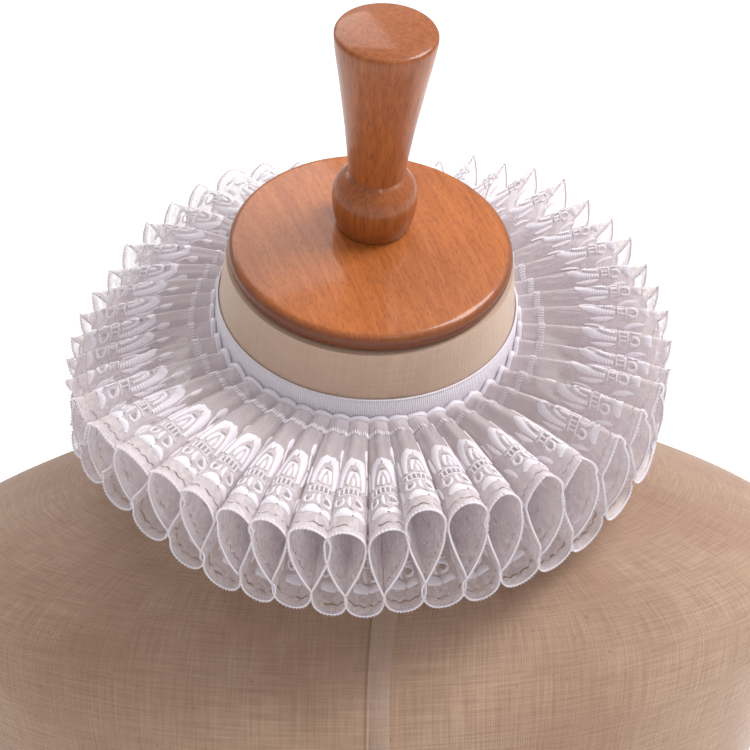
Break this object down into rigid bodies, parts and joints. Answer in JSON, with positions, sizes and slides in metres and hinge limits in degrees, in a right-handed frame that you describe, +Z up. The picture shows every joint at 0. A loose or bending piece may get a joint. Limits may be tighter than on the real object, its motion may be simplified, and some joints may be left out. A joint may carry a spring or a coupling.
{
  "type": "lace ruff collar on a dress form",
  "caption": "White lace ruff in organ-pipe flutes on a ribbon neckband, worn by a limbless linen dress form with a turned wooden neck cap and handle.",
  "frame": {"origin": "middle of the dress form's flat foot, on the surface it stands on", "axes": "+Z up, the form's chest faces -Y, its left side is at +X"},
  "size_m": [0.3906, 0.2714, 0.4573],
  "materials": {
    "lace": "sheer white net with satin embroidery",
    "ribbon": "white grosgrain, ribbed across",
    "linen": "natural linen, plain weave, dull",
    "beech": "orange-brown stain under gloss varnish",
    "wire": "white enamelled wire"
  },
  "bodies": {
    "root": {"lace_frill": "lace", "neckband": "ribbon", "form_body": "linen", "neck_cap": "beech", "handle": "beech", "hook": "wire", "eye": "wire"}
  },
  "joints": []
}
